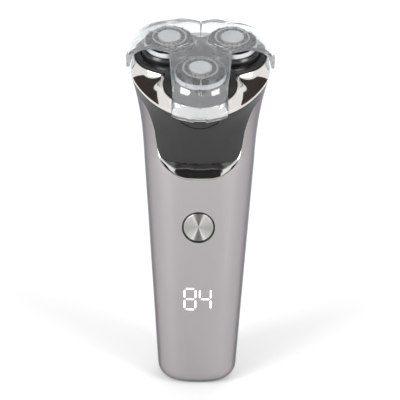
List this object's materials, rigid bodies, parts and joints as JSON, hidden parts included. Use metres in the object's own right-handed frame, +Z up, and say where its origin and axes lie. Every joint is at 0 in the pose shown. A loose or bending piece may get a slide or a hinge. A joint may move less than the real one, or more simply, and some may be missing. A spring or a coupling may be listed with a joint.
{
  "type": "rotary electric shaver",
  "caption": "Handheld rotary electric shaver with a tapered silver handle, lit charge display, hinged floating cutter heads and a clear travel cap.",
  "frame": {"origin": "centre of the flat base that the shaver stands on, which is the middle of the charging inlet", "axes": "+Z up the handle to the shaving head, -Y the side with the button and display, +X to the right seen from that side"},
  "size_m": [0.064, 0.0642, 0.1618],
  "materials": {
    "silver_paint": "satin champagne silver",
    "dark_plastic": "matte",
    "chrome_plating": "mirror",
    "black_gloss": "gloss",
    "black_plastic": "matte",
    "steel": "satin",
    "spun_aluminium": "spun",
    "cell_wrap": "satin",
    "chassis_plastic": "matte",
    "board": "satin",
    "pale_plastic": "satin",
    "lit_digits": "lit",
    "gear_plastic": "matte",
    "rubber": "matte",
    "frame_plastic": "matte",
    "clear_plastic": "clear gloss"
  },
  "bodies": {
    "handle": {"front_shell": "silver_paint", "rear_cover": "dark_plastic", "neck_collar": "dark_plastic", "mirror_bezel": "chrome_plating", "base_plate": "dark_plastic", "charging_socket": "steel", "battery": "cell_wrap", "inner_chassis": "chassis_plastic", "circuit_board": "board", "display_module": "pale_plastic", "display_digits": "lit_digits", "tact_switch": "black_plastic", "button_ring": "black_gloss", "cover_screws": "steel", "motor_can": "steel", "motor_end_cap": "black_plastic", "motor_plate": "chassis_plastic", "gear_plate": "chassis_plastic", "gear_screws": "steel", "chamber_floor": "chassis_plastic", "floor_gasket": "rubber", "spindle_seals": "rubber", "hinge_pin": "steel", "release_spring": "steel"},
    "rotor": {"motor_shaft": "steel", "motor_pinion": "gear_plastic"},
    "centre_gear": {"centre_gear": "gear_plastic"},
    "release_button": {"release_button": "dark_plastic"},
    "power_button": {"power_button_cap": "spun_aluminium", "power_button_stem": "black_plastic"},
    "shaving_unit": {"chrome_skirt": "chrome_plating", "head_plate": "black_gloss", "retaining_frame": "frame_plastic", "frame_screw": "steel", "head_spring_1": "steel", "head_spring_2": "steel", "head_spring_3": "steel"},
    "travel_cap": {"travel_cap": "clear_plastic"},
    "drive_gear_1": {"drive_gear_1": "gear_plastic"},
    "head_1": {"foil_guard_1": "steel", "head_disc_1": "pale_plastic", "head_ring_1": "black_gloss"},
    "cutter_1": {"cutter_blades_1": "steel", "cutter_coupler_1": "gear_plastic"},
    "drive_gear_2": {"drive_gear_2": "gear_plastic"},
    "head_2": {"foil_guard_2": "steel", "head_disc_2": "pale_plastic", "head_ring_2": "black_gloss"},
    "cutter_2": {"cutter_blades_2": "steel", "cutter_coupler_2": "gear_plastic"},
    "drive_gear_3": {"drive_gear_3": "gear_plastic"},
    "head_3": {"foil_guard_3": "steel", "head_disc_3": "pale_plastic", "head_ring_3": "black_gloss"},
    "cutter_3": {"cutter_blades_3": "steel", "cutter_coupler_3": "gear_plastic"}
  },
  "joints": [
    {"name": "cap_lift", "type": "slide", "parent": "shaving_unit", "child": "travel_cap", "axis": [0, -0.4067, 0.9135], "range_m": [0, 0.035]},
    {"name": "head_hinge", "type": "hinge", "parent": "handle", "child": "shaving_unit", "pos_m": [0, 0.02957, 0.15077], "axis": [-1, 0, 0], "range_deg": [0, 100]},
    {"name": "release_button_press", "type": "slide", "parent": "handle", "child": "release_button", "axis": [0, 0.9135, 0.4067], "range_m": [0, 0.0007], "stiffness_N_per_m": 1500, "springref_m": -0.0004, "deforming": ["release_spring"]},
    {"name": "power_button_press", "type": "slide", "parent": "handle", "child": "power_button", "axis": [0, 0.9987, 0.0509], "range_m": [0, 0.0006], "stiffness_N_per_m": 2000, "springref_m": -0.0003},
    {"name": "motor_spin", "type": "hinge", "parent": "handle", "child": "rotor", "pos_m": [0, -0.00083, 0.11973], "axis": [0, -0.4067, 0.9135], "continuous": true},
    {"name": "centre_gear_spin", "type": "hinge", "parent": "handle", "child": "centre_gear", "pos_m": [0, 0.00424, 0.13293], "axis": [0, -0.4067, 0.9135], "continuous": true},
    {"name": "drive_gear_1_spin", "type": "hinge", "parent": "handle", "child": "drive_gear_1", "pos_m": [0, -0.00992, 0.12662], "axis": [0, -0.4067, 0.9135], "continuous": true},
    {"name": "head_1_float", "type": "slide", "parent": "shaving_unit", "child": "head_1", "axis": [0, 0.4067, -0.9135], "range_m": [0, 0.0015], "stiffness_N_per_m": 600, "springref_m": -0.0015, "deforming": ["head_spring_1"]},
    {"name": "cutter_1_spin", "type": "hinge", "parent": "head_1", "child": "cutter_1", "pos_m": [0, -0.01643, 0.14124], "axis": [0, -0.4067, 0.9135], "continuous": true},
    {"name": "drive_gear_2_spin", "type": "hinge", "parent": "handle", "child": "drive_gear_2", "pos_m": [0.01342, 0.01132, 0.13608], "axis": [0, -0.4067, 0.9135], "continuous": true},
    {"name": "head_2_float", "type": "slide", "parent": "shaving_unit", "child": "head_2", "axis": [0, 0.4067, -0.9135], "range_m": [0, 0.0015], "stiffness_N_per_m": 600, "springref_m": -0.0015, "deforming": ["head_spring_2"]},
    {"name": "cutter_2_spin", "type": "hinge", "parent": "head_2", "child": "cutter_2", "pos_m": [0.01342, 0.00481, 0.1507], "axis": [0, -0.4067, 0.9135], "continuous": true},
    {"name": "drive_gear_3_spin", "type": "hinge", "parent": "handle", "child": "drive_gear_3", "pos_m": [-0.01342, 0.01132, 0.13608], "axis": [0, -0.4067, 0.9135], "continuous": true},
    {"name": "head_3_float", "type": "slide", "parent": "shaving_unit", "child": "head_3", "axis": [0, 0.4067, -0.9135], "range_m": [0, 0.0015], "stiffness_N_per_m": 600, "springref_m": -0.0015, "deforming": ["head_spring_3"]},
    {"name": "cutter_3_spin", "type": "hinge", "parent": "head_3", "child": "cutter_3", "pos_m": [-0.01342, 0.00481, 0.1507], "axis": [0, -0.4067, 0.9135], "continuous": true}
  ],
  "couplings": [
    {"joint": "centre_gear_spin", "follows": "motor_spin", "ratio": -0.42857},
    {"joint": "drive_gear_1_spin", "follows": "motor_spin", "ratio": 0.27068},
    {"joint": "cutter_1_spin", "follows": "motor_spin", "ratio": 0.27068},
    {"joint": "drive_gear_2_spin", "follows": "motor_spin", "ratio": 0.27068},
    {"joint": "cutter_2_spin", "follows": "motor_spin", "ratio": 0.27068},
    {"joint": "drive_gear_3_spin", "follows": "motor_spin", "ratio": 0.27068},
    {"joint": "cutter_3_spin", "follows": "motor_spin", "ratio": 0.27068}
  ]
}
